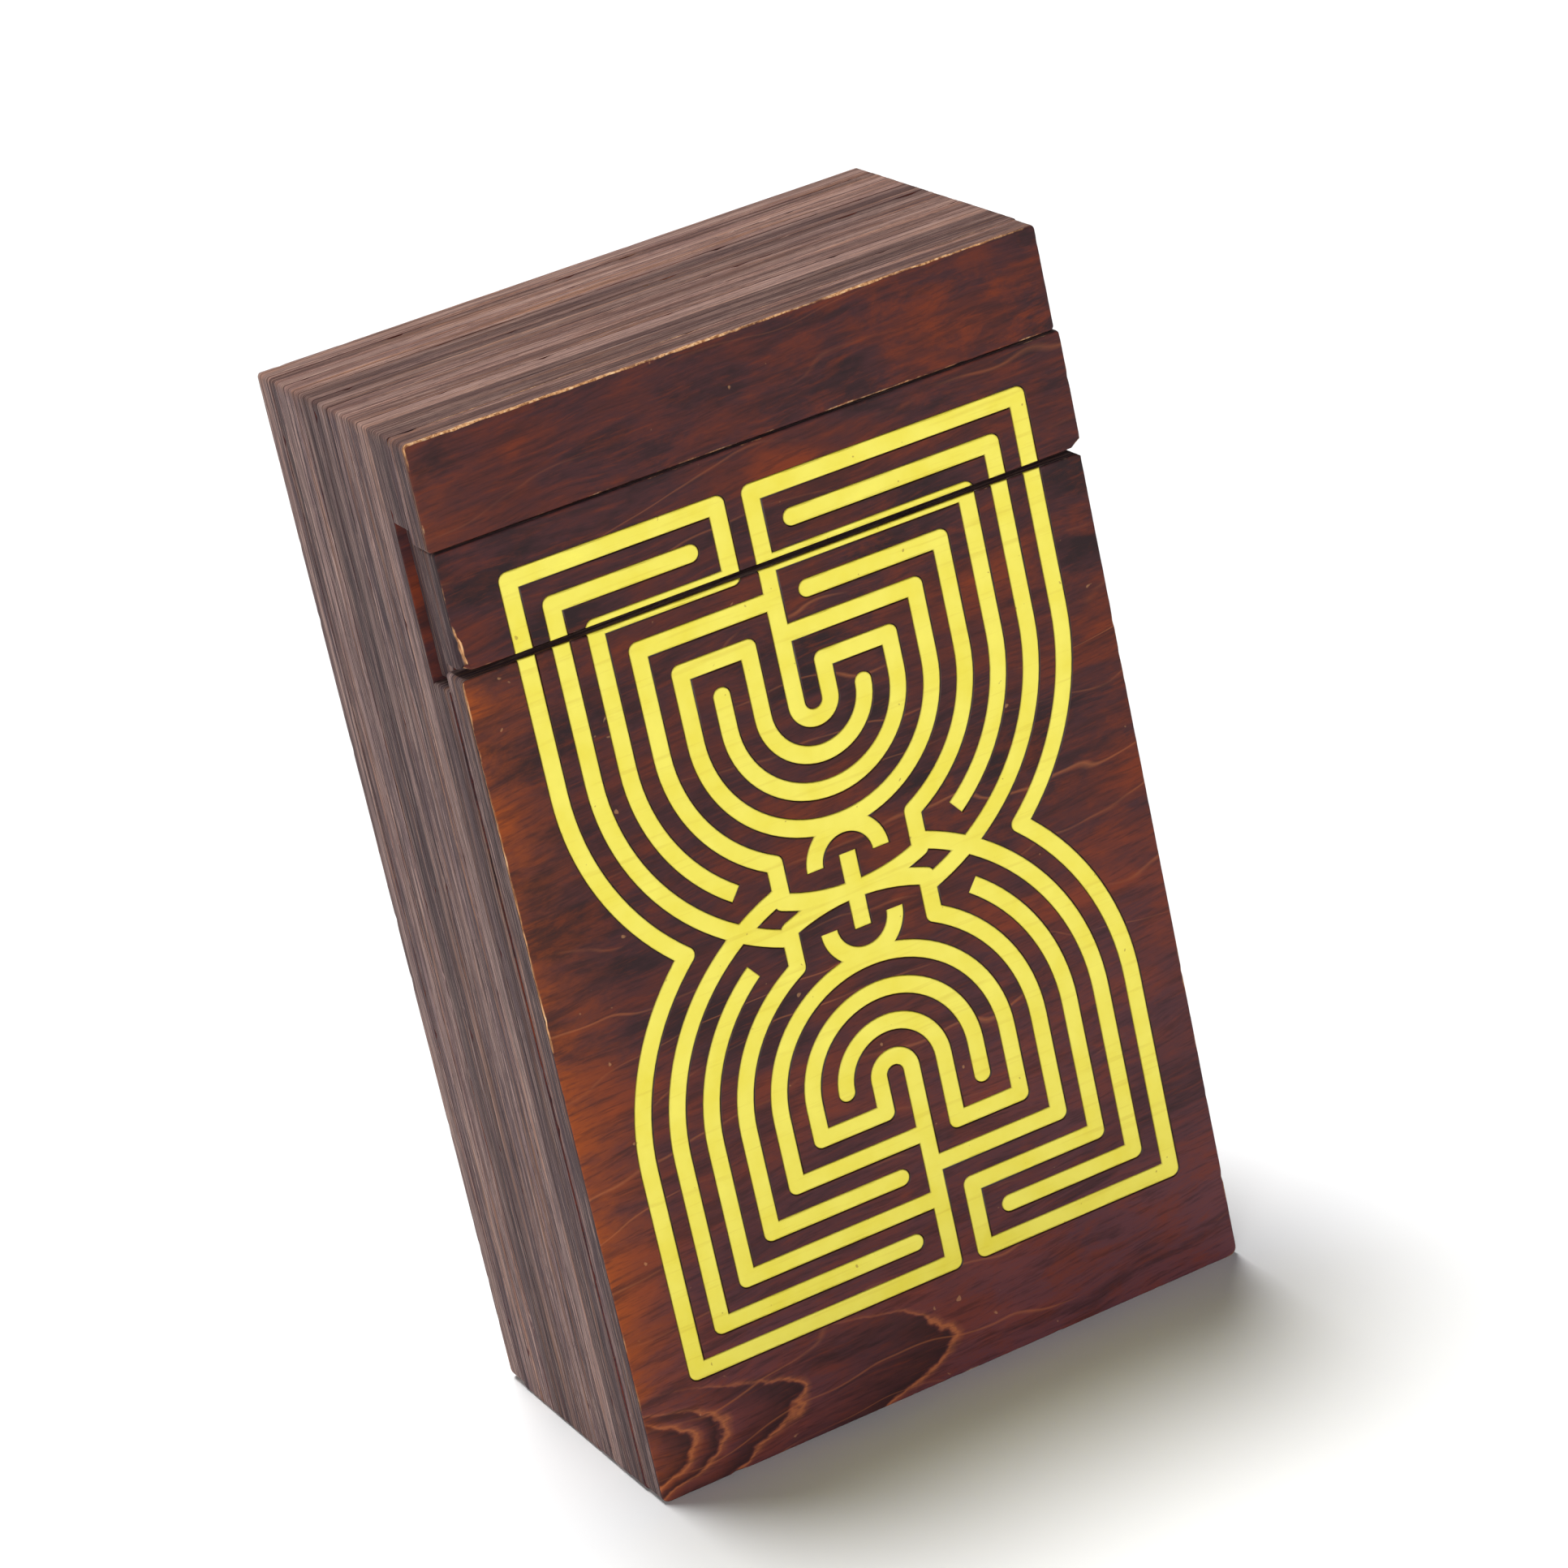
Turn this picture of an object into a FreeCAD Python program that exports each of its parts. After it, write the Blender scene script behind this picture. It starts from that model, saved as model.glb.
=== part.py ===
"""A pocket puzzle box of stacked plywood sheets, stained dark and glued face to face.

The box stands on its short end. X is its width, Y its depth with the front towards -Y, and Z its height.
The origin is the centre of the foot. All sizes are in millimetres.

From front to back the sheets are:
  1  the front: a glued top strip, a sliding strip below it, and a sliding panel that fills the rest
  2  the track: rails that the strip's backing and the panel's neck run between
  3  the tongue track: a channel, open at the foot, for the wide tongue behind the neck
  4  the mask: the front wall of the compartment, with its window
  5+ the body frames, which are the compartment's side walls
  last, the back plate

The sliding strip carries a round pin. The pin stands in a labyrinth of slots cut through the tongue. With the
strip in line, the pin is in the slot that runs out of the tongue's top edge, and the panel slides down. With
the strip pushed to the left, the pin is in a side slot, and the panel is held.
"""

import FreeCAD, Part
import math
import os

# Overall sizes
WIDTH = 60.0
HEIGHT = 100.0
SHEET = 3.3
BODY_FRAMES = 5

# The front: heights of its pieces and the gaps between them
TOP_STRIP_HEIGHT = 9.6
STRIP_HEIGHT = 10.6
STRIP_GAP = 0.12
PANEL_GAP = 0.6

# How far the sliding pieces' faces stand to the right of the case, and their clipped right-hand corners
STRIP_SHIFT = 0.35
PANEL_SHIFT = 0.1
STRIP_CLIP_X = 1.0
STRIP_CLIP_Z = 0.6
PANEL_CLIP_X = 0.5
PANEL_CLIP_Z = 0.3

# Running clearances: across a sheet's thickness, and beside an edge
FACE_PLAY = 0.1
EDGE_PLAY = 0.15

# The sliding strip's backing, and the channel it runs in
CATCH_ABOVE = 1.4
CATCH_BELOW = 1.7
BACKING_RECESS = 0.5
END_WALL = 5.0
STRIP_TRAVEL = 8.0

# The sliding panel's neck, and the tongue behind it
NECK_WIDTH = 40.0
TONGUE_WIDTH = 46.0
TONGUE_TOP_MARGIN = 6.5
PANEL_TRAVEL = 70.0

# Pins and dowels
PIN_DIAMETER = 3.0
PIN_PLAY = 0.3
PIN_TIP_GAP = 0.3
BLIND_SLOT = 3.0
STOP_PIN_HEIGHT = 4.2
DOWEL_DIAMETER = 3.0
DOWEL_FROM_END = 4.6
DOWEL_SKIN = 1.0

# The compartment
FLOOR_WALL = 8.0
ROOF_WALL = 8.0
MASK_SIDE_WALL = 10.0
FRAME_SIDE_WALL = 8.0
MASK_ROOF_WALL = 24.0
WINDOW_RADIUS = 3.0

# The printed labyrinth: a shallow engraved groove filled with paint
MAZE_LINE = 1.6
MAZE_SIDE_MARGIN = 4.7
MAZE_TOP_MARGIN = 3.1
MAZE_FOOT_MARGIN = 9.6
MAZE_SHIFT = 0.65
GROOVE_DEPTH = 0.35
GROOVE_KERF = 0.1
PAINT_SUNK = 0.06

# The labyrinth's own proportions, counted in lanes
LANES = 8
ROWS = 6
CENTRE_SPACING = 11
CONNECTOR_AT = 2.1
ARCH_DROP = 4.6
STEM_TOP = 4.4
DEAD_END_ANGLE = 37.5

# Worked out from the sizes above
LAYERS = BODY_FRAMES + 5
DEPTH = LAYERS * SHEET
FRONT_Y = -DEPTH / 2
LEFT = -WIDTH / 2
RIGHT = WIDTH / 2
TOP_STRIP_FOOT = HEIGHT - TOP_STRIP_HEIGHT
STRIP_TOP = TOP_STRIP_FOOT - STRIP_GAP
STRIP_FOOT = STRIP_TOP - STRIP_HEIGHT
PANEL_TOP = STRIP_FOOT - PANEL_GAP
CHANNEL_TOP = STRIP_TOP + CATCH_ABOVE
CHANNEL_FOOT = PANEL_TOP - CATCH_BELOW
CHANNEL_RIGHT = RIGHT - END_WALL
NECK_SIDE = NECK_WIDTH / 2
TONGUE_SIDE = TONGUE_WIDTH / 2
RAIL_SIDE = NECK_SIDE + EDGE_PLAY
TRACK_SIDE = TONGUE_SIDE + EDGE_PLAY
TONGUE_TOP = HEIGHT - TONGUE_TOP_MARGIN
PIN_Z = (CHANNEL_TOP + CHANNEL_FOOT) / 2
PIN_RADIUS = PIN_DIAMETER / 2
SLOT_RADIUS = PIN_RADIUS + PIN_PLAY
DOWEL_RADIUS = DOWEL_DIAMETER / 2
MASK_WINDOW_TOP = HEIGHT - MASK_ROOF_WALL
MAZE_TOP = STRIP_TOP - MAZE_TOP_MARGIN
PITCH = min(
    (WIDTH - 2 * MAZE_SIDE_MARGIN - MAZE_LINE) / (2 * LANES - 1),
    (MAZE_TOP - MAZE_FOOT_MARGIN - MAZE_LINE) / (2 * ROWS + CENTRE_SPACING),
)
MAZE_Z = (MAZE_TOP + MAZE_FOOT_MARGIN) / 2


def layer(number):
    """The front and back Y of a sheet, counted from 1 at the front."""
    return FRONT_Y + (number - 1) * SHEET, FRONT_Y + number * SHEET


def block(x0, x1, y0, y1, z0, z1):
    """A plain rectangular piece between two corners."""
    return Part.makeBox(x1 - x0, y1 - y0, z1 - z0, FreeCAD.Vector(x0, y0, z0))


def rod(x, z, radius, y0, y1):
    """A round rod or hole along Y."""
    return Part.makeCylinder(radius, y1 - y0, FreeCAD.Vector(x, y0, z), FreeCAD.Vector(0, 1, 0))


def window(x0, x1, y0, y1, z0, z1, radius):
    """A rectangular opening with rounded corners, as a tool to cut with."""
    opening = block(x0, x1, y0, y1, z0, z1)
    corners = [edge for edge in opening.Edges if abs(edge.tangentAt(edge.FirstParameter).y) > 0.5]
    return opening.makeFillet(radius, corners)


def slot(x0, z0, x1, z1, radius, y0, y1):
    """A round-ended slot through a sheet, from one centre to another, along X or along Z."""
    ends = rod(x0, z0, radius, y0, y1).fuse(rod(x1, z1, radius, y0, y1))
    wide = radius if x0 == x1 else 0
    high = radius if z0 == z1 else 0
    body = block(
        min(x0, x1) - wide, max(x0, x1) + wide, y0, y1, min(z0, z1) - high, max(z0, z1) + high
    )
    return body.fuse(ends).removeSplitter()


def prism(points, y0, y1):
    """A solid over a straight-sided outline, given as (x, z) points."""
    corners = [FreeCAD.Vector(x, y0, z) for x, z in points]
    return Part.Face(Part.makePolygon(corners + corners[:1])).extrude(FreeCAD.Vector(0, y1 - y0, 0))


def clipped(x0, x1, y0, y1, z0, z1, corner_z, clip_x, clip_z):
    """A block with its right-hand corner at a height clipped off. clip_z is negative at an upper corner."""
    corner = prism([(x1, corner_z), (x1 - clip_x, corner_z), (x1, corner_z + clip_z)], y0, y1)
    return block(x0, x1, y0, y1, z0, z1).cut(corner)


# ---------------------------------------------------------------- the labyrinth

SECTOR_STEP = 45


class Pen:
    """Draws lines of one width on the front as solids between two depths, in lanes about a centre.

    u runs to the right and v away from the waist. turn is 1 for the upper half, and -1 for the lower half,
    which is the upper one turned half way round."""

    def __init__(self, half_width, y0, y1):
        self.half_width = half_width
        self.y0 = y0
        self.y1 = y1
        self.turn = 1
        self.pieces = []

    def at(self, u, v):
        centre = MAZE_Z + self.turn * CENTRE_SPACING / 2 * PITCH
        return MAZE_SHIFT + self.turn * u * PITCH, centre + self.turn * v * PITCH

    def dot(self, u, v):
        x, z = self.at(u, v)
        self.pieces.append(rod(x, z, self.half_width, self.y0, self.y1))

    def bar(self, u0, v0, u1, v1):
        """A straight stretch along u or v, square at both ends."""
        (xa, za), (xb, zb) = self.at(u0, v0), self.at(u1, v1)
        wide = self.half_width if u0 == u1 else 0
        high = self.half_width if v0 == v1 else 0
        x0, x1 = min(xa, xb) - wide, max(xa, xb) + wide
        z0, z1 = min(za, zb) - high, max(za, zb) + high
        self.pieces.append(block(x0, x1, self.y0, self.y1, z0, z1))

    def path(self, points, round_end=False):
        """Straight stretches through the points, rounded outside each corner."""
        for (u0, v0), (u1, v1) in zip(points, points[1:]):
            self.bar(u0, v0, u1, v1)
        for u, v in points[1:-1]:
            self.dot(u, v)
        if round_end:
            self.dot(*points[-1])

    def arc(self, lane, start, stop, centre_v=0.0):
        """A stretch of a round lane, by angles in degrees from the waist side, positive to the right."""
        x, z = self.at(0, centre_v)
        outer = rod(x, z, lane * PITCH + self.half_width, self.y0, self.y1)
        ring = outer.cut(rod(x, z, lane * PITCH - self.half_width, self.y0, self.y1))
        reach = self.turn * 2 * (lane + 1) * PITCH
        sector = [(x, z)]
        steps = max(1, math.ceil((stop - start) / SECTOR_STEP))
        for i in range(steps + 1):
            angle = math.radians(start + (stop - start) * i / steps)
            sector.append((x + reach * math.sin(angle), z - reach * math.cos(angle)))
        self.pieces.append(ring.common(prism(sector, self.y0, self.y1)))

    def solid(self):
        whole = self.pieces[0].multiFuse(self.pieces[1:])
        return whole.removeSplitter()


def angle_at(lane, across):
    """The angle at which a round lane passes a distance across from the centre line."""
    return math.degrees(math.asin(across / lane))


def draw_half(pen):
    """One nest of lanes: straight above its centre, round below it."""
    pen.path([(-7.5, 0), (-7.5, 6), (-1.5, 6), (-1.5, 4), (-5.5, 4), (-5.5, 0)])
    pen.path([(-6.5, 0), (-6.5, 5), (-2.5, 5)], round_end=True)
    pen.path([(-4.5, 0), (-4.5, 3), (-0.5, 3)])
    pen.path([(-3.5, 0), (-3.5, 2), (-1.5, 2), (-1.5, 0)])
    pen.path([(-2.5, 0), (-2.5, 1)], round_end=True)
    pen.path([(-0.5, 0), (-0.5, 6), (7.5, 6), (7.5, 0)])
    pen.path([(0.5, 0), (0.5, 1), (2.5, 1), (2.5, 0)])
    pen.path([(3.5, 0), (3.5, 2), (-0.5, 2)])
    pen.path([(4.5, 0), (4.5, 3), (0.5, 3)], round_end=True)
    pen.path([(5.5, 0), (5.5, 4), (-0.5, 4)])
    pen.path([(6.5, 0), (6.5, 5), (0.5, 5)], round_end=True)
    for lane in (0.5, 1.5, 2.5, 3.5):
        pen.arc(lane, -90, 90)
    pen.dot(1.5, 0)
    corner = math.sqrt(7.5**2 - (CENTRE_SPACING / 2) ** 2)
    for lane, stop in (
        (4.5, angle_at(4.5, CONNECTOR_AT)),
        (5.5, DEAD_END_ANGLE),
        (6.5, angle_at(6.5, CONNECTOR_AT)),
        (7.5, angle_at(7.5, corner)),
    ):
        pen.arc(lane, -90, -stop)
        pen.arc(lane, stop, 90)
    bowl_end = angle_at(5.5, CONNECTOR_AT)
    pen.arc(5.5, -bowl_end, bowl_end)
    for across in (-CONNECTOR_AT, CONNECTOR_AT):
        upper = -math.sqrt(4.5**2 - across**2)
        lower = -math.sqrt(5.5**2 - across**2)
        pen.path([(across, upper), (across, lower)])
        pen.dot(across, upper)
        pen.dot(across, lower)
        pen.dot(across, -math.sqrt(6.5**2 - across**2))
        pen.dot(math.copysign(corner, across), -CENTRE_SPACING / 2)
    pen.turn = -pen.turn
    pen.arc(1.0, -90, 90, centre_v=-CENTRE_SPACING + ARCH_DROP)
    pen.turn = -pen.turn
    pen.bar(0, -STEM_TOP, 0, -CENTRE_SPACING / 2)


def labyrinth(half_width, y0, y1):
    """The whole labyrinth as one solid between two depths."""
    pen = Pen(half_width, y0, y1)
    draw_half(pen)
    pen.turn = -1
    draw_half(pen)
    return pen.solid()


# ---------------------------------------------------------------- the fixed case


def dowels():
    """The four alignment dowels by name, in the compartment's side walls. They end at the back plate.

    The top pair starts behind the front sheet. The bottom pair starts in blind holes in the compartment mask,
    with a skin of wood between it and the tongue."""
    pieces = {}
    for side, x in (("left", LEFT + FRAME_SIDE_WALL / 2), ("right", RIGHT - FRAME_SIDE_WALL / 2)):
        back = layer(LAYERS)[0]
        pieces["bottom_" + side] = rod(x, DOWEL_FROM_END, DOWEL_RADIUS, layer(4)[0] + DOWEL_SKIN, back)
        pieces["top_" + side] = rod(x, HEIGHT - DOWEL_FROM_END, DOWEL_RADIUS, layer(2)[0], back)
    return pieces


def drill_dowels(piece):
    """Drills a sheet for the dowels."""
    for pin in dowels().values():
        piece = piece.cut(pin)
    return piece


def top_strip():
    y0, y1 = layer(1)
    return block(LEFT, RIGHT, y0, y1, TOP_STRIP_FOOT, HEIGHT)


def track_left_rail():
    y0, y1 = layer(2)
    return block(LEFT, -RAIL_SIDE, y0, y1, 0, CHANNEL_FOOT)


def track_frame():
    """The right rail, the wall that ends the strip's channel, and the bridge over it."""
    y0, y1 = layer(2)
    rail = block(RAIL_SIDE, RIGHT, y0, y1, 0, CHANNEL_FOOT)
    wall = block(CHANNEL_RIGHT, RIGHT, y0, y1, CHANNEL_FOOT, CHANNEL_TOP)
    bridge = block(LEFT, RIGHT, y0, y1, CHANNEL_TOP, HEIGHT)
    return drill_dowels(rail.multiFuse([wall, bridge]).removeSplitter())


def tongue_track():
    y0, y1 = layer(3)
    channel = block(-TRACK_SIDE, TRACK_SIDE, y0, y1, 0, TONGUE_TOP + EDGE_PLAY)
    return drill_dowels(block(LEFT, RIGHT, y0, y1, 0, HEIGHT).cut(channel))


def compartment_mask():
    y0, y1 = layer(4)
    sheet = block(LEFT, RIGHT, y0, y1, 0, HEIGHT)
    opening = window(
        LEFT + MASK_SIDE_WALL, RIGHT - MASK_SIDE_WALL, y0, y1, FLOOR_WALL, MASK_WINDOW_TOP, WINDOW_RADIUS
    )
    stop_hole = rod(0, STOP_PIN_HEIGHT, PIN_RADIUS, y0, y1)
    return drill_dowels(sheet.cut(opening).cut(stop_hole))


def body_frame(number):
    y0, y1 = layer(4 + number)
    sheet = block(LEFT, RIGHT, y0, y1, 0, HEIGHT)
    opening = window(
        LEFT + FRAME_SIDE_WALL, RIGHT - FRAME_SIDE_WALL, y0, y1, FLOOR_WALL, HEIGHT - ROOF_WALL, WINDOW_RADIUS
    )
    return drill_dowels(sheet.cut(opening))


def back_plate():
    y0, y1 = layer(LAYERS)
    return block(LEFT, RIGHT, y0, y1, 0, HEIGHT)


def stop_pin():
    """Fixed in the mask. It stands in the tongue's long slot and ends the panel's travel."""
    return rod(0, STOP_PIN_HEIGHT, PIN_RADIUS, layer(3)[0] + PIN_TIP_GAP, layer(4)[1])


# ---------------------------------------------------------------- the sliding strip


def slider_faces():
    """The front and back Y of the strip and of the panel, which stand clear of the sheet they slide over."""
    y0, y1 = layer(1)
    return y0 - FACE_PLAY, y1 - FACE_PLAY


def strip_front(groove):
    y0, y1 = slider_faces()
    left, right = LEFT + STRIP_SHIFT, RIGHT + STRIP_SHIFT
    strip = clipped(left, right, y0, y1, STRIP_FOOT, STRIP_TOP, STRIP_FOOT, STRIP_CLIP_X, STRIP_CLIP_Z)
    return strip.cut(groove)


def strip_backing():
    """Taller than the strip. Its long edges are rubbed down to run behind the top strip and the panel."""
    front = slider_faces()[1]
    catch_front = layer(1)[1] + FACE_PLAY
    back = layer(2)[1] - FACE_PLAY
    left = LEFT + STRIP_SHIFT + BACKING_RECESS
    right = CHANNEL_RIGHT - EDGE_PLAY
    core = block(left, right, front, back, STRIP_FOOT, STRIP_TOP)
    catches = block(left, right, catch_front, back, CHANNEL_FOOT + EDGE_PLAY, CHANNEL_TOP - EDGE_PLAY)
    return core.fuse(catches).removeSplitter().cut(rod(0, PIN_Z, PIN_RADIUS, front, back))


def strip_pin():
    return rod(0, PIN_Z, PIN_RADIUS, slider_faces()[1], layer(3)[1] - PIN_TIP_GAP)


# ---------------------------------------------------------------- the sliding panel


def tongue_faces():
    y0, y1 = layer(3)
    return y0 + FACE_PLAY, y1 - FACE_PLAY


def panel_front(groove):
    y0, y1 = slider_faces()
    left, right = LEFT + PANEL_SHIFT, RIGHT + PANEL_SHIFT
    panel = clipped(left, right, y0, y1, 0, PANEL_TOP, PANEL_TOP, PANEL_CLIP_X, -PANEL_CLIP_Z)
    return panel.cut(groove)


def panel_neck():
    """Joins the panel to its tongue between the rails, below the strip's backing."""
    top = CHANNEL_FOOT - EDGE_PLAY
    return block(-NECK_SIDE, NECK_SIDE, slider_faces()[1], tongue_faces()[0], 0, top)


def maze_tongue():
    """The wide tongue behind the neck, with the pin's labyrinth of slots and the stop pin's long slot."""
    y0, y1 = tongue_faces()
    sheet = block(-TONGUE_SIDE, TONGUE_SIDE, y0, y1, 0, TONGUE_TOP)
    cuts = [
        slot(0, PIN_Z, 0, TONGUE_TOP + SLOT_RADIUS, SLOT_RADIUS, y0, y1),
        slot(-STRIP_TRAVEL, PIN_Z, 0, PIN_Z, SLOT_RADIUS, y0, y1),
        slot(-STRIP_TRAVEL, PIN_Z, -STRIP_TRAVEL, PIN_Z + BLIND_SLOT, SLOT_RADIUS, y0, y1),
        slot(0, STOP_PIN_HEIGHT, 0, STOP_PIN_HEIGHT + PANEL_TRAVEL, SLOT_RADIUS, y0, y1),
    ]
    return sheet.cut(cuts[0].multiFuse(cuts[1:]).removeSplitter())


# ---------------------------------------------------------------- build and export


def engraving():
    """The groove to cut in the sliding pieces' faces, and the paint that fills it."""
    front_y = slider_faces()[0]
    half = MAZE_LINE / 2
    groove = labyrinth(half + GROOVE_KERF, front_y, front_y + GROOVE_DEPTH)
    paint = labyrinth(half, front_y + PAINT_SUNK, front_y + GROOVE_DEPTH)
    return groove, paint


def between(paint, z0, z1):
    """The paint between two heights."""
    return paint.common(block(LEFT, RIGHT, FRONT_Y - SHEET, FRONT_Y + SHEET, z0, z1))


def build():
    """Every piece of the box by name."""
    groove, paint = engraving()
    pieces = {
        "top_strip": top_strip(),
        "track_left_rail": track_left_rail(),
        "track_frame": track_frame(),
        "tongue_track": tongue_track(),
        "compartment_mask": compartment_mask(),
        "back_plate": back_plate(),
        "stop_pin": stop_pin(),
        "strip_front": strip_front(groove),
        "strip_backing": strip_backing(),
        "strip_pin": strip_pin(),
        "strip_paint": between(paint, STRIP_FOOT, STRIP_TOP),
        "panel_front": panel_front(groove),
        "panel_neck": panel_neck(),
        "maze_tongue": maze_tongue(),
        "panel_paint": between(paint, 0, PANEL_TOP),
    }
    for number in range(1, BODY_FRAMES + 1):
        pieces[f"body_frame_{number}"] = body_frame(number)
    for name, piece in dowels().items():
        pieces["dowel_" + name] = piece
    return pieces


def main():
    os.makedirs("parts", exist_ok=True)
    for name, shape in build().items():
        if not shape.isValid():
            raise ValueError(name + " is not a valid solid")
        shape.exportStep(f"parts/{name}.step")


main()
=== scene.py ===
"""The wooden puzzle box: every sheet rebuilt with worn arrises and ragged plies, stained and painted.

Each sheet is made from its CAD node's own outline. The flat faces are stained veneer and the rims are bare
ply edges. Lengths are in metres, in the frame of the CAD part. A texture's scale is in cells to the metre.
"""

import math

import bmesh
import bpy
from mathutils import Matrix, Vector, noise
from mathutils.geometry import tessellate_polygon


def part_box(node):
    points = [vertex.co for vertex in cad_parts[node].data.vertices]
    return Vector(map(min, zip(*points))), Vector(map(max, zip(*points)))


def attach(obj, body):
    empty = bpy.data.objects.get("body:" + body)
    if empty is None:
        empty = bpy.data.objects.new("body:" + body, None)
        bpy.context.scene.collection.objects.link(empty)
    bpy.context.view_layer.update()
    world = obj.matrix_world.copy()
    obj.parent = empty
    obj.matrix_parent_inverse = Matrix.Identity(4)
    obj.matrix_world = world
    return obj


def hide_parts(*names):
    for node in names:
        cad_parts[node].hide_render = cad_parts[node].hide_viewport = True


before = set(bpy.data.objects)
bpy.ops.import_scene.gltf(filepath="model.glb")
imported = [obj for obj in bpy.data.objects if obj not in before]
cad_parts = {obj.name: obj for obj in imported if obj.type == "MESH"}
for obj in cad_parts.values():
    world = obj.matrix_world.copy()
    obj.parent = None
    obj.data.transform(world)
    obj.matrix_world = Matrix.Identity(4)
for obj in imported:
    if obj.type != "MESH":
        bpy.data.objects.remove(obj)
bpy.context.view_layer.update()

MM = 0.001
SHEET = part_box("back_plate")[1].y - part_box("back_plate")[0].y
FRONT_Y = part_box("top_strip")[0].y
TOP_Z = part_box("top_strip")[1].z
PLIES = 3

# ------------------------------------------------------------------ node helpers


class Nodes:
    """A material's node tree, with short calls for the nodes used here."""

    def __init__(self, name):
        self.material = bpy.data.materials.new(name)
        self.material.use_nodes = True
        self.tree = self.material.node_tree
        self.shader = self.tree.nodes["Principled BSDF"]
        self.object_point = self.tree.nodes.new("ShaderNodeTexCoord").outputs["Object"]

    def link(self, source, socket):
        if isinstance(source, bpy.types.NodeSocket):
            self.tree.links.new(source, socket)
        else:
            socket.default_value = source

    def scaled(self, scale, shift=(0, 0, 0), turn=(0, 0, 0), point=None):
        """The point in the piece's own space, moved, turned and stretched, as a place to read a texture."""
        node = self.tree.nodes.new("ShaderNodeMapping")
        node.inputs["Location"].default_value = shift
        node.inputs["Rotation"].default_value = turn
        node.inputs["Scale"].default_value = scale
        self.link(point or self.object_point, node.inputs["Vector"])
        return node.outputs["Vector"]

    def noise(self, point, scale=1.0, detail=3.0, rough=0.55, distortion=0.0):
        node = self.tree.nodes.new("ShaderNodeTexNoise")
        node.inputs["Scale"].default_value = scale
        node.inputs["Detail"].default_value = detail
        node.inputs["Roughness"].default_value = rough
        node.inputs["Distortion"].default_value = distortion
        self.link(point, node.inputs["Vector"])
        return node.outputs["Fac"]

    def ramp(self, value, stops, interpolation="LINEAR"):
        """A colour ramp: stops are (position, colour or grey)."""
        node = self.tree.nodes.new("ShaderNodeValToRGB")
        node.color_ramp.interpolation = interpolation
        elements = node.color_ramp.elements
        while len(elements) < len(stops):
            elements.new(0.5)
        for element, (position, colour) in zip(elements, stops):
            element.position = position
            grey = isinstance(colour, (int, float))
            element.color = (colour, colour, colour, 1) if grey else (*colour, 1)
        self.link(value, node.inputs["Fac"])
        return node.outputs["Color"]

    def mix(self, factor, a, b, blend="MIX"):
        node = self.tree.nodes.new("ShaderNodeMix")
        node.data_type = "RGBA"
        node.blend_type = blend
        for source, socket in ((factor, node.inputs[0]), (a, node.inputs[6]), (b, node.inputs[7])):
            if isinstance(source, tuple):
                source = (*source, 1)
            self.link(source, socket)
        return node.outputs[2]

    def math(self, operation, *values):
        node = self.tree.nodes.new("ShaderNodeMath")
        node.operation = operation
        for value, socket in zip(values, node.inputs):
            self.link(value, socket)
        return node.outputs[0]

    def attribute(self, name):
        node = self.tree.nodes.new("ShaderNodeAttribute")
        node.attribute_name = name
        return node.outputs["Fac"]

    def chance(self, value):
        """A random number from 0 to 1 that changes with a value."""
        node = self.tree.nodes.new("ShaderNodeTexWhiteNoise")
        node.noise_dimensions = "1D"
        self.link(value, node.inputs["W"])
        return node.outputs["Value"]

    def separate(self, point):
        node = self.tree.nodes.new("ShaderNodeSeparateXYZ")
        self.link(point, node.inputs[0])
        return node.outputs

    def combine(self, x, y, z):
        node = self.tree.nodes.new("ShaderNodeCombineXYZ")
        for value, socket in zip((x, y, z), node.inputs):
            self.link(value, socket)
        return node.outputs[0]

    def finish(self, colour, roughness, height, strength, distance, specular=0.5, coat=0.0, coat_rough=0.2):
        """Connects colour, roughness and bump to the shader."""
        self.link(colour, self.shader.inputs["Base Color"])
        self.link(roughness, self.shader.inputs["Roughness"])
        self.shader.inputs["Specular IOR Level"].default_value = specular
        self.shader.inputs["Coat Weight"].default_value = coat
        self.shader.inputs["Coat Roughness"].default_value = coat_rough
        bump = self.tree.nodes.new("ShaderNodeBump")
        bump.inputs["Strength"].default_value = strength
        bump.inputs["Distance"].default_value = distance
        self.link(height, bump.inputs["Height"])
        self.link(bump.outputs["Normal"], self.shader.inputs["Normal"])
        return self.material


def srgb(red, green, blue):
    """A colour given as it looks on a screen, 0 to 255, in the renderer's linear light."""

    def linear(c):
        return c / 255 / 12.92 if c <= 10 else ((c / 255 + 0.055) / 1.055) ** 2.4

    return linear(red), linear(green), linear(blue)


# ------------------------------------------------------------------ materials

CHARCOAL = srgb(45, 31, 33)
PLUM = srgb(68, 40, 42)
RUSSET = srgb(84, 42, 36)
ROSE_FOOT_LIGHT = srgb(104, 62, 68)
RUST = srgb(118, 52, 30)
ORANGE = srgb(158, 76, 28)
HONEY = srgb(186, 110, 66)
RAW_SHADE = srgb(138, 92, 58)
BARE_WOOD = srgb(206, 152, 104)
RAW_PALE = srgb(236, 196, 150)
PLY_BLACK = srgb(44, 32, 36)
PLY_DARK = srgb(74, 56, 58)
PLY_MID = srgb(110, 86, 84)
PLY_PALE = srgb(148, 122, 118)
PLY_WARM = srgb(158, 110, 82)
PLY_PLUM = srgb(98, 78, 88)
PLY_LIT = srgb(190, 160, 148)
GROOVE_DARK = srgb(34, 14, 12)
GROOVE_BROWN = srgb(66, 30, 22)
LEMON_DEEP = srgb(234, 219, 68)
LEMON = srgb(240, 228, 90)
LEMON_PALE = srgb(245, 234, 92)
LEMON_GRAIN = srgb(206, 178, 40)
LEMON_EDGE = srgb(150, 124, 30)
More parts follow.
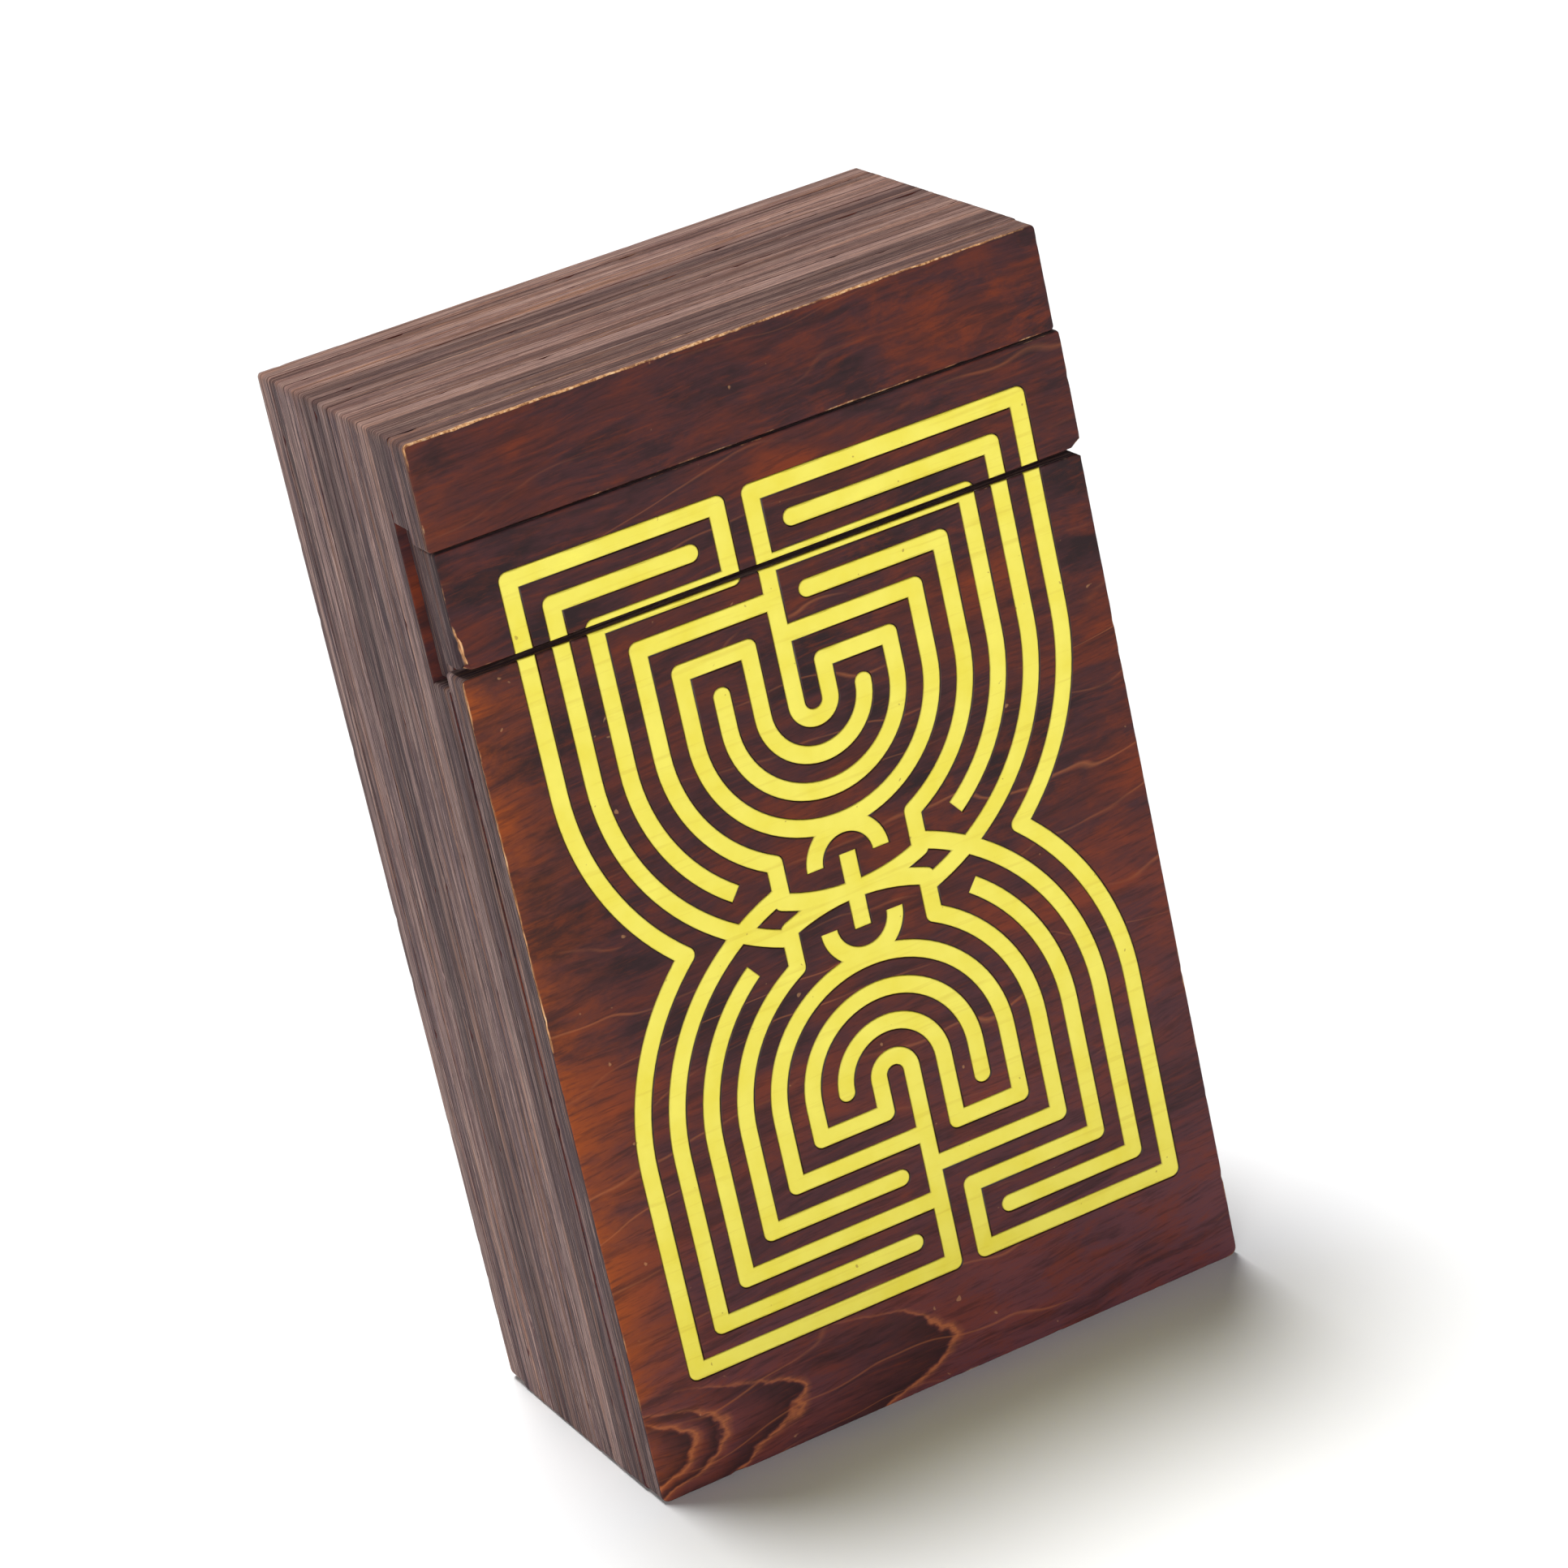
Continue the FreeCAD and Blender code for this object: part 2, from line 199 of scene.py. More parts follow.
PIN_HOLE = srgb(150, 110, 40)
ROD_DARK = srgb(150, 108, 70)
ROD_MID = srgb(196, 152, 104)
ROD_PALE = srgb(214, 176, 130)
FLOOR_WHITE = (0.9, 0.9, 0.9, 1)
SKY = (0.9, 0.95, 1.0, 1)


def bare_wood(n, colour, shift, most):
    """Wears a finish away to splintery raw wood where the wear attribute is high. most is how far it goes."""
    rubbed = n.noise(n.scaled((420, 700, 420), shift), detail=4.0, rough=0.7)
    splinters = n.noise(n.scaled((2600, 2600, 420), shift), detail=3.0, rough=0.7)
    raw = n.ramp(splinters, [(0.38, RAW_SHADE), (0.52, BARE_WOOD), (0.66, RAW_PALE)])
    worn = n.ramp(n.math("MULTIPLY", n.attribute("wear"), rubbed), [(0.36, 0.0), (0.62, most)])
    return n.mix(worn, colour, raw)


def along(n, value, low, high):
    """How far a coordinate is between two places, from 0 to 1."""
    return n.math("DIVIDE", n.math("SUBTRACT", value, low), high - low)


def from_middle(n, count):
    """How far a running count is from the middle of its unit: 0 in the middle, and 0.5 at the ends."""
    return n.math("ABSOLUTE", n.math("SUBTRACT", n.math("FRACT", count), 0.5))


# The arched grain at the panel's foot, in millimetres, and its bow in each metre
ARCH_TIPS = (-26.2, -22.4, -15.3, 0.6)
ARCH_FIRST = -32.0
ARCH_LAST = 4.0
ARCH_AXIS = 4.6
ARCH_WAVER = 7.0
ARCH_BOW = 380.0


def cathedral(n, colour, place, shift):
    """The arched figure across the panel's foot: dark early wood behind each arch and a pale line along it.

    The arches point to the right. They share one axis, and a bow sets how fast they fall back from it."""
    warp = n.noise(n.scaled((170, 170, 260), shift), detail=4.0, rough=0.6)
    rise = n.math("SUBTRACT", place[2], ARCH_AXIS * MM)
    bend = n.math("MULTIPLY", n.math("MULTIPLY", rise, rise), ARCH_BOW)
    waver = n.math("MULTIPLY", n.math("SUBTRACT", warp, 0.5), ARCH_WAVER * MM)
    u = n.math("ADD", n.math("ADD", place[0], bend), waver)
    t = along(n, u, ARCH_FIRST * MM, ARCH_LAST * MM)
    dark, line, begin = [(0.0, 0.3)], [(0.0, 0.0)], 0.0
    for tip in ARCH_TIPS:
        at = (tip - ARCH_FIRST) / (ARCH_LAST - ARCH_FIRST)
        dark += [(begin + 0.2 * (at - begin), 0.1), (at - 0.025, 0.85), (at - 0.004, 0.0)]
        line += [(at - 0.016, 0.0), (at, 1.0), (at + 0.014, 0.25), (at + 0.035, 0.0)]
        begin = at
    low_down = n.ramp(along(n, place[2], 6 * MM, 11 * MM), [(0.0, 1.0), (1.0, 0.0)])
    colour = n.mix(n.math("MULTIPLY", n.ramp(t, dark), low_down), colour, CHARCOAL)
    return n.mix(n.math("MULTIPLY", n.math("MULTIPLY", n.ramp(t, line), low_down), 0.7), colour, HONEY)


GRAIN_WANDER = 3.5
GRAIN_SLOPE = 0.05
RINGS_PER_METRE = 190.0
GLOW_FROM = -30.0
GLOW_TO = -22.0


def veneer(name, seed, mottle, figure, glow=0.0, arches=False):
    """Dark stained veneer, grain along X: plum and russet clouds, rust patches, fine fibres and worn arrises.

    mottle is how much rust shows, figure how bright the pale lines are, glow how much the left edge is rubbed
    to orange, and arches whether the foot has the arched grain."""
    n = Nodes(name)
    shift = (seed, seed * 0.37, seed * 1.71)
    wander = n.noise(n.scaled((45, 45, 90), shift), detail=2.0)
    place = n.separate(n.object_point)
    rise = n.math("ADD", place[2], n.math("MULTIPLY", wander, GRAIN_WANDER * MM))
    tilted = n.math("SUBTRACT", rise, n.math("MULTIPLY", place[0], GRAIN_SLOPE))
    grain_point = n.combine(place[0], place[1], tilted)
    fibre = n.noise(n.scaled((210, 210, 2600), shift, point=grain_point), detail=4.0, rough=0.7)
    streak = n.noise(n.scaled((70, 70, 620), shift, point=grain_point), detail=5.0, rough=0.65)
    blotch_point = n.scaled((190, 190, 460), shift, point=grain_point)
    blotch = n.noise(blotch_point, detail=6.0, rough=0.72, distortion=0.3)
    cloud = n.noise(n.scaled((62, 62, 150), shift), detail=5.0, rough=0.62)
    broad = n.noise(n.scaled((26, 26, 52), shift), detail=2.0)

    colour = n.ramp(cloud, [(0.36, CHARCOAL), (0.46, PLUM), (0.56, RUSSET), (0.68, RUST)])
    # Rose mixed in towards the foot, fading out by half the height: partly the lower front's plum tone, and
    # partly painted light that makes the foot lighter where the lamps leave it darker.
    rosy_lit_foot = n.ramp(along(n, place[2], 0.0, 0.5 * TOP_Z), [(0.0, 0.75), (1.0, 0.0)])
    colour = n.mix(n.math("MULTIPLY", rosy_lit_foot, n.ramp(broad, [(0.35, 0.5), (0.6, 1.0)])), colour, ROSE_FOOT_LIGHT)
    lit = n.ramp(broad, [(0.38, 0.2), (0.60, 1.0)])
    rust = n.math("MULTIPLY", n.ramp(blotch, [(0.47, 0.0), (0.64, 1.0)]), lit)
    colour = n.mix(n.math("MULTIPLY", rust, mottle), colour, RUST)
    if glow:
        inward_x = along(n, place[0], GLOW_FROM * MM, GLOW_TO * MM)
        near_edge = n.ramp(inward_x, [(0.0, 1.0), (0.35, 0.45), (1.0, 0.0)])
        uneven = n.ramp(n.mix(0.5, cloud, blotch), [(0.40, 0.25), (0.56, 1.0)])
        rubbed_out = n.math("MULTIPLY", near_edge, uneven)
        colour = n.mix(n.math("MULTIPLY", rubbed_out, glow), colour, ORANGE)
    if arches:
        colour = cathedral(n, colour, place, shift)
    colour = n.mix(n.ramp(streak, [(0.36, 0.5), (0.47, 0.0)]), colour, CHARCOAL)
    colour = n.mix(n.ramp(fibre, [(0.36, 0.45), (0.49, 0.0)]), colour, CHARCOAL)
    colour = n.mix(n.ramp(fibre, [(0.54, 0.0), (0.70, 0.4)]), colour, RUST)

    # Pale figure lines: the growth rings cut at a slant, which run close to the grain and waver a little
    sway = n.noise(n.scaled((26, 26, 60), shift), detail=3.0, rough=0.5)
    climb = n.math("ADD", n.math("MULTIPLY", tilted, RINGS_PER_METRE), n.math("MULTIPLY", sway, 3.4))
    crest = n.ramp(n.math("FRACT", climb), [(0.0, 1.0), (0.03, 0.0), (0.965, 0.0), (1.0, 0.8)])
    patchy = n.ramp(n.noise(n.scaled((60, 60, 120), shift), detail=3.0), [(0.48, 0.0), (0.62, 1.0)])
    line = n.math("MULTIPLY", n.math("MULTIPLY", crest, patchy), figure)
    colour = n.mix(line, colour, HONEY)

    speck = n.ramp(n.noise(n.scaled((900, 900, 900), shift), detail=1.0), [(0.79, 0.0), (0.82, 1.0)])
    colour = n.mix(n.math("MULTIPLY", speck, 0.35), colour, BARE_WOOD)
    colour = bare_wood(n, colour, shift, 1.0)
    rough = n.ramp(blotch, [(0.2, 0.38), (0.8, 0.55)])
    height = n.mix(0.5, fibre, streak)
    return n.finish(colour, rough, height, 0.35, 0.0001, specular=0.1, coat=0.03, coat_rough=0.3)


PLY_DRIFT = 1.1


def ply_edge(name, seed, tone):
    """Bare sanded ply edges: long streaks in grey, brown and plum, each ply with a shade of its own.

    Dark glue lines part the plies, and darker seams the sheets. tone is how dark the whole sheet took the
    stain, from 0 to 1."""
    n = Nodes(name)
    shift = (seed, seed * 0.61, seed * 1.3)
    place = n.separate(n.object_point)
    drift = n.math("MULTIPLY", n.noise(n.scaled((70, 200, 70), shift), detail=3.0), PLY_DRIFT * MM)
    bent = n.combine(place[0], n.math("ADD", place[1], drift), place[2])
    fine = n.noise(n.scaled((40, 2500, 40), shift, point=bent), detail=5.0, rough=0.7)
    hair = n.noise(n.scaled((90, 5200, 90), shift, point=bent), detail=3.0, rough=0.7)
    wide = n.noise(n.scaled((14, 760, 14), shift, point=bent), detail=4.0, rough=0.62)
    patch = n.noise(n.scaled((60, 260, 60), shift), detail=3.0)
    pore = n.noise(n.scaled((900, 5200, 900), shift), detail=4.0, rough=0.75)
    stops = [(0.34, PLY_DARK), (0.44, PLY_MID), (0.52, PLY_PALE), (0.58, PLY_MID), (0.66, PLY_WARM)]
    colour = n.ramp(wide, stops)
    colour = n.mix(n.ramp(patch, [(0.42, 0.0), (0.62, 0.5)]), colour, PLY_PLUM)
    colour = n.mix(n.ramp(fine, [(0.36, 0.95), (0.47, 0.0)]), colour, PLY_BLACK)
    colour = n.mix(n.ramp(fine, [(0.54, 0.0), (0.63, 0.85)]), colour, PLY_WARM)
    colour = n.mix(n.ramp(hair, [(0.37, 0.95), (0.47, 0.0)]), colour, PLY_DARK)
    colour = n.mix(n.ramp(hair, [(0.53, 0.0), (0.62, 0.85)]), colour, PLY_LIT)
    # The ply edges within a millimetre of the box's top are tinted warmer.
    warm_top_edges = n.ramp(along(n, place[2], TOP_Z - MM, TOP_Z), [(0.0, 0.0), (1.0, 0.3)])
    colour = n.mix(warm_top_edges, colour, PLY_WARM)
    colour = n.mix(n.ramp(pore, [(0.38, 0.6), (0.47, 0.0)]), colour, PLY_DARK)
    colour = n.mix(tone, colour, PLY_BLACK)

    across = n.math("DIVIDE", n.math("SUBTRACT", place[1], FRONT_Y), SHEET)
    plies = n.math("MULTIPLY", across, PLIES)
    took = n.chance(n.math("ADD", n.math("FLOOR", plies), seed))
    colour = n.mix(n.ramp(took, [(0.45, 0.0), (0.95, 0.5)]), colour, PLY_BLACK)
    colour = n.mix(n.ramp(took, [(0.05, 0.22), (0.4, 0.0)]), colour, PLY_LIT)
    glue = n.ramp(from_middle(n, plies), [(0.42, 0.0), (0.48, 1.0)])
    colour = n.mix(n.math("MULTIPLY", glue, wide), colour, PLY_BLACK)
    seam = n.ramp(from_middle(n, across), [(0.475, 0.0), (0.492, 0.85)])
    colour = n.mix(seam, colour, PLY_BLACK)
    colour = bare_wood(n, colour, shift, 0.8)
    rough = n.ramp(wide, [(0.2, 0.62), (0.8, 0.82)])
    height = n.mix(0.5, fine, pore)
    return n.finish(colour, rough, height, 0.9, 0.0002, specular=0.15)


def varnish(name, seed):
    """The darker, smoother ground of the printed groove's walls."""
    n = Nodes(name)
    grain = n.noise(n.scaled((60, 60, 900), (seed, 0, seed)), detail=3.0)
    colour = n.ramp(grain, [(0.3, GROOVE_DARK), (0.7, GROOVE_BROWN)])
    return n.finish(colour, 0.45, grain, 0.2, 0.00005)


def paint(name):
    """Opaque lemon paint, rolled on: faint grain telegraphing through, pin holes and a soft dark edge."""
    n = Nodes(name)
    grain = n.noise(n.scaled((70, 70, 1500)), detail=4.0, rough=0.6)
    cloud = n.noise(n.scaled((240, 240, 240)), detail=3.0)
    colour = n.ramp(cloud, [(0.3, LEMON_DEEP), (0.6, LEMON), (0.8, LEMON_PALE)])
    colour = n.mix(n.ramp(grain, [(0.30, 0.28), (0.44, 0.0)]), colour, LEMON_GRAIN)
    hole = n.ramp(n.noise(n.scaled((1500, 1500, 1500)), detail=1.0), [(0.77, 0.0), (0.80, 1.0)])
    colour = n.mix(n.math("MULTIPLY", hole, 0.6), colour, PIN_HOLE)
    colour = n.mix(n.ramp(n.attribute("wear"), [(0.2, 0.0), (0.9, 0.5)]), colour, LEMON_EDGE)
    rough = n.ramp(cloud, [(0.2, 0.38), (0.8, 0.5)])
    return n.finish(colour, rough, n.mix(0.5, grain, cloud), 0.25, 0.00006, specular=0.4)


def rod_wood(name, seed):
    """Plain turned hardwood with its grain along the rod."""
    n = Nodes(name)
    grain = n.noise(n.scaled((1500, 60, 1500), (seed, 0, 0)), detail=4.0)
    colour = n.ramp(grain, [(0.3, ROD_DARK), (0.6, ROD_MID), (0.8, ROD_PALE)])
    return n.finish(colour, 0.6, grain, 0.4, 0.0001)


# ------------------------------------------------------------------ outlines


SAME_POINT = 1e-6
SAME_PLANE = 1e-5
FACING = -0.99


def face_loops(node, back=False, depth=0.0):
    """The closed outlines of a CAD node's flat faces, as seen from the front: lists of (x, z) points.

    The faces are those that look forward at a depth behind the node's front, or else its back face."""
    mesh = bmesh.new()
    mesh.from_mesh(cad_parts[node].data)
    bmesh.ops.remove_doubles(mesh, verts=mesh.verts, dist=SAME_POINT)
    if back:
        bmesh.ops.reverse_faces(mesh, faces=mesh.faces)
    mesh.normal_update()
    low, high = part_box(node)
    level = high.y if back else low.y + depth

    def at_level(face):
        return face.normal.y < FACING and abs(face.calc_center_median().y - level) < SAME_PLANE

    faces = dict.fromkeys(filter(at_level, mesh.faces))
    follow = {}
    for face in faces:
        for loop in face.loops:
            if not any(other in faces for other in loop.edge.link_faces if other is not face):
                follow.setdefault(loop.vert.index, []).append(loop.link_loop_next.vert.index)
    mesh.verts.ensure_lookup_table()
    place = {i: (mesh.verts[i].co.x, mesh.verts[i].co.z) for i in follow}
    loops = []
    while follow:
        start = next(iter(follow))
        chain, at = [], start
        while at in follow:
            chain.append(place[at])
            nexts = follow[at]
            step = nexts.pop()
            if not nexts:
                del follow[at]
            at = step
            if at == start:
                break
        loops.append(chain)
    mesh.free()
    return loops


def area(loop):
    """Signed area of a closed outline."""
    return sum(a[0] * b[1] - b[0] * a[1] for a, b in zip(loop, loop[1:] + loop[:1])) / 2


def tidy_loop(loop, straight=1e-3):
    """Drops points that lie on a straight run."""
    kept = []
    for before, here, after in zip(loop[-1:] + loop[:-1], loop, loop[1:] + loop[:1]):
        u = Vector(here) - Vector(before)
        v = Vector(after) - Vector(here)
        if u.length < 1e-7:
            continue
        if v.length < 1e-7 or abs(u.normalized().cross(v.normalized())) > straight:
            kept.append(here)
    return kept


CORNER_STEPS = 5


def soften(loop, radii):
    """Rounds the square outer corners. radii(x, z) gives each corner's radius."""
    out = []
    for before, here, after in zip(loop[-1:] + loop[:-1], loop, loop[1:] + loop[:1]):
        u = (Vector(here) - Vector(before)).normalized()
        v = (Vector(after) - Vector(here)).normalized()
        radius = radii(*here)
        if abs(u.dot(v)) > 0.2 or radius <= 0:
            out.append(here)
            continue
        centre = Vector(here) + (v - u) * radius
        for k in range(CORNER_STEPS + 1):
            turn = math.pi / 2 * k / CORNER_STEPS
            out.append(tuple(centre - v * radius * math.cos(turn) + u * radius * math.sin(turn)))
    return out


def resample(loop, spacing):
    """Divides long runs so that no step is longer than the spacing."""
    out = []
    for a, b in zip(loop, loop[1:] + loop[:1]):
        steps = max(1, math.ceil(math.dist(a, b) / spacing))
        for i in range(steps):
            out.append((a[0] + (b[0] - a[0]) * i / steps, a[1] + (b[1] - a[1]) * i / steps))
    return out


def inward(loop):
    """The unit direction into the material at each point of an outline, mitred. It lies to the left."""
    out = []
    for before, here, after in zip(loop[-1:] + loop[:-1], loop, loop[1:] + loop[:1]):
        u = (Vector(here) - Vector(before)).normalized()
        v = (Vector(after) - Vector(here)).normalized()
        left = Vector((-u.y, u.x))
        both = left + Vector((-v.y, v.x))
        both = both.normalized() if both.length > 1e-6 else left
        out.append(both / max(0.5, both.dot(left)))
    return out


def holds(loop, point):
    """Whether a point is inside an outline."""
    x, z = point
    inside = False
    for (xa, za), (xb, zb) in zip(loop, loop[1:] + loop[:1]):
        if (za > z) != (zb > z) and x < xa + (xb - xa) * (z - za) / (zb - za):
            inside = not inside
    return inside


def islands(loops):
    """Groups outlines into islands: each outer outline with the holes in it."""
    outers = sorted((loop for loop in loops if area(loop) > 0), key=area)
    groups = [[outer] for outer in outers]
    for hole in (loop for loop in loops if area(loop) < 0):
        next(group for group in groups if holds(group[0], hole[0])).append(hole)
    return groups


# ------------------------------------------------------------------ solids from outlines


def rough(x, y, z, scale, seed):
    """Smooth noise from -1 to 1 at a point."""
    return noise.noise(Vector((x, y, z)) * scale + Vector((seed, seed * 2.3, seed * 0.7)))


# Rings that belong to the face, the material slots, and lengths in millimetres: a face's lip, a rim's rows
# and steps, and how near to the sheet's side a corner or a worn arris counts as being on it
BEVEL_RINGS = 2
FACE_SLOT = 0
RIM_SLOT = 1
LIP = 0.1
PLY_ROW = 0.3
RIM_STEP = 0.6
FILM_STEP = 1.0
ON_EDGE = 1.5
AT_EDGE = 0.6


class Row:
    """One ring of a rim: how far behind the front face, how far in from the outline, and how worn."""

    def __init__(self, depth, inset, wear):
        self.depth = depth
        self.inset = inset
        self.wear = wear


def extrude(name, groups, rows, front_y, place, materials):
    """A closed solid from islands of outlines. place(x, z, inward, row) gives each point and its wear."""
    mesh = bmesh.new()
    wear = mesh.verts.layers.float.new("wear")
    for group in groups:
        rings = []
        for loop in group:
            normals = inward(loop)
            ring_rows = []
            for row in rows:
                ring = []
                for (x, z), normal in zip(loop, normals):
                    (px, py, pz), worn = place(x, z, normal, row)
                    vert = mesh.verts.new((px, front_y + py, pz))
                    vert[wear] = worn
                    ring.append(vert)
                ring_rows.append(ring)
            for rank, (a, b) in enumerate(zip(ring_rows, ring_rows[1:])):
                on_face = rank < BEVEL_RINGS or rank >= len(rows) - 1 - BEVEL_RINGS
                for i in range(len(loop)):
                    j = (i + 1) % len(loop)
                    face = mesh.faces.new((a[i], b[i], b[j], a[j]))
                    face.material_index = FACE_SLOT if on_face else RIM_SLOT
                    face.smooth = True
            rings.append(ring_rows)
        for end, flip in ((0, False), (-1, True)):
            verts = [vert for ring_rows in rings for vert in ring_rows[end]]
            outline = [[Vector((v.co.x, v.co.z, 0)) for v in ring_rows[end]] for ring_rows in rings]
            for triangle in tessellate_polygon(outline):
                corners = [verts[i] for i in triangle]
                if len(set(corners)) < 3:
                    continue
                a, b, c = (v.co for v in corners)
                if ((b - a).cross(c - a).y > 0) != flip:
                    corners.reverse()
                try:
                    mesh.faces.new(corners).material_index = FACE_SLOT
                except ValueError:
                    continue
    data = bpy.data.meshes.new(name)
    mesh.to_mesh(data)
    mesh.free()
    for material in materials:
        data.materials.append(material)
    piece = bpy.data.objects.new(name, data)
    bpy.context.scene.collection.objects.link(piece)
    return piece


def sheet_rows(thickness, front_bevel, back_bevel):
    """The rings of a sheet's rim, front to back: a rounded arris at each face and rows across the plies."""
    lip = LIP * MM
    rows = [Row(0, front_bevel + lip, 0.0), Row(0, front_bevel, 0.9)]
    rows += [Row(0.3 * front_bevel, 0.3 * front_bevel, 1.0), Row(front_bevel, 0, 0.7)]
    span = thickness - front_bevel - back_bevel
    count = max(2, round(span / (PLY_ROW * MM)))
    rows += [Row(front_bevel + span * k / count, 0, 0.0) for k in range(1, count)]
    rows.append(Row(thickness - back_bevel, 0, 0.7))
    rows += [Row(thickness - 0.3 * back_bevel, 0.3 * back_bevel, 1.0), Row(thickness, back_bevel, 0.9)]
    rows.append(Row(thickness, back_bevel + lip, 0.0))
    return rows


class Bruise:
    """A place on the front arris where the wood is crushed or splintered away."""

    def __init__(self, x, z, radius, depth):
        self.x = x
        self.z = z
        self.radius = radius
        self.depth = depth

    def at(self, x, z):
        return max(0.0, 1 - math.hypot(x - self.x, z - self.z) / self.radius)


def sheet(node, body, faces, rims, seed, front_bevel=0.05, back_bevel=0.05, corner=0.25, foot_corner=0.4,
          relief=0.03, wear=0.5, top_wear=None, rubbed=None, bruises=()):
    """Rebuilds a plywood sheet from its CAD outline. Bevels, corners and relief are in millimetres.

    top_wear is the wear along the top edge, and rubbed the stretch of heights in metres where the left
    arrises are rubbed bare."""
    low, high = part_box(node)
    thickness = high.y - low.y
    mid_z = (low.z + high.z) / 2

    def radii(x, z):
        on_edge = min(x - low.x, high.x - x) < ON_EDGE * MM
        return (foot_corner if z < mid_z else corner) * MM if on_edge else 0

    loops = []
    for loop in map(tidy_loop, face_loops(node, back=True)):
        if area(loop) > 0:
            loop = soften(loop, radii)
        loops.append(resample(loop, RIM_STEP * MM))
    rows = sheet_rows(thickness, front_bevel * MM, back_bevel * MM)

    def place(x, z, normal, row):
        y = low.y + row.depth
        inset = row.inset * (1 + 0.5 * rough(x, y * 0.2, z, 900, seed))
        saw = rough(x, y * 26, z, 130, seed) + 0.6 * rough(x, y * 9, z, 420, seed + 5)
        body_depth = 1.0 if row.inset == 0 else 0.5
        inset += relief * MM * body_depth * (0.5 + 0.5 * saw)
        worn = row.wear * wear * (1 + 0.8 * rough(x, 0, z, 260, seed + 9))
        if top_wear and z > high.z - AT_EDGE * MM:
            from_left = (x - low.x) / (high.x - low.x)
            worn = row.wear * top_wear * (1.1 - 0.35 * from_left + 0.6 * rough(x, 0, z, 190, seed + 9))
        if rubbed and x < low.x + AT_EDGE * MM and rubbed[0] < z < rubbed[1]:
            worn = row.wear * 1.25 * (1 + 0.5 * rough(x, 0, z, 120, seed + 2))
        chip = max(0.0, rough(x, y * 0.3, z, 700, seed + 3) - 0.42) * row.wear
        inset += chip * relief * 14 * MM
        sunk = 0.0
        for bruise in bruises:
            hit = bruise.at(x, z) * (0.7 + 0.6 * rough(x, y * 4, z, 1800, seed))
            reach_in = max(0.0, 1 - row.depth / (0.35 * thickness))
            if reach_in > 0 and hit > 0:
                inset += hit * bruise.depth * reach_in
                sunk += 0.15 * hit * bruise.depth * (1 if row.wear else 0)
                worn += 1.6 * hit if row.wear else 0
        push = normal * inset
        return (x + push.x, row.depth + sunk, z + push.y), max(0.0, worn)

    piece = extrude(node + "_sheet", islands(loops), rows, low.y, place, [faces, rims])
    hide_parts(node)
    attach(piece, body)
    return piece


# ------------------------------------------------------------------ the box


def groove_and_paint(piece, sheet_node, paint_node, body, ground, coat):
    """Engraves the labyrinth's groove in a front piece and lays the paint in it."""
    low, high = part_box(sheet_node)
    paint_low, paint_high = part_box(paint_node)
    depth = paint_high.y - low.y
    rows = [Row(-1 * MM, 0, 0), Row(depth, 0, 0)]
    loops = [tidy_loop(loop) for loop in face_loops(sheet_node, depth=depth)]

    def straight(x, z, normal, row):
        return (x, row.depth, z), 0.0

    cutter = extrude("cutter", islands(loops), rows, low.y, straight, [ground, ground])
    cut = piece.modifiers.new("groove", "BOOLEAN")
    cut.operation = "DIFFERENCE"
    cut.solver = "EXACT"
    cut.material_mode = "TRANSFER"
    cut.object = cutter
    bpy.context.view_layer.update()
    engraved = bpy.data.meshes.new_from_object(piece.evaluated_get(bpy.context.evaluated_depsgraph_get()))
    piece.modifiers.clear()
    piece.data = engraved
    bpy.data.objects.remove(cutter)

    edge = 0.05 * MM
    thickness = paint_high.y - paint_low.y
    rows = [Row(0, 3 * edge, 0.0), Row(0, edge, 0.6), Row(edge, 0, 1.0), Row(thickness, 0, 1.0)]

    def rolled(x, z, normal, row):
        push = normal * row.inset
        swell = 0.012 * MM * rough(x, 0, z, 300, 4.0) if row.depth < thickness else 0.0
        return (x + push.x, row.depth + swell, z + push.y), row.wear

    loops = [resample(tidy_loop(loop), FILM_STEP * MM) for loop in face_loops(paint_node)]
    film = extrude(paint_node + "_film", islands(loops), rows, paint_low.y, rolled, [coat, coat])
    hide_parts(paint_node)
    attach(film, body)


def rods():
    """Turned pins and dowels keep their CAD shape, with a wood of their own."""
    for seed, node in enumerate(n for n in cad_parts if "pin" in n or "dowel" in n):
        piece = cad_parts[node]
        piece.data.materials.clear()
        piece.data.materials.append(rod_wood("rod_" + node, seed))


# The splinters up the strip's lower-left edge: height, reach and depth in millimetres
SPLINTERS = ((0.2, 1.0, 0.9), (1.2, 1.1, 0.75), (2.3, 1.0, 0.6), (3.3, 0.8, 0.4))
RIM_TONES = (0.0, 0.42, 0.15, 0.05, 0.3)
BODY_FRAMES = 5
BACK_WORN_FRAME = 3


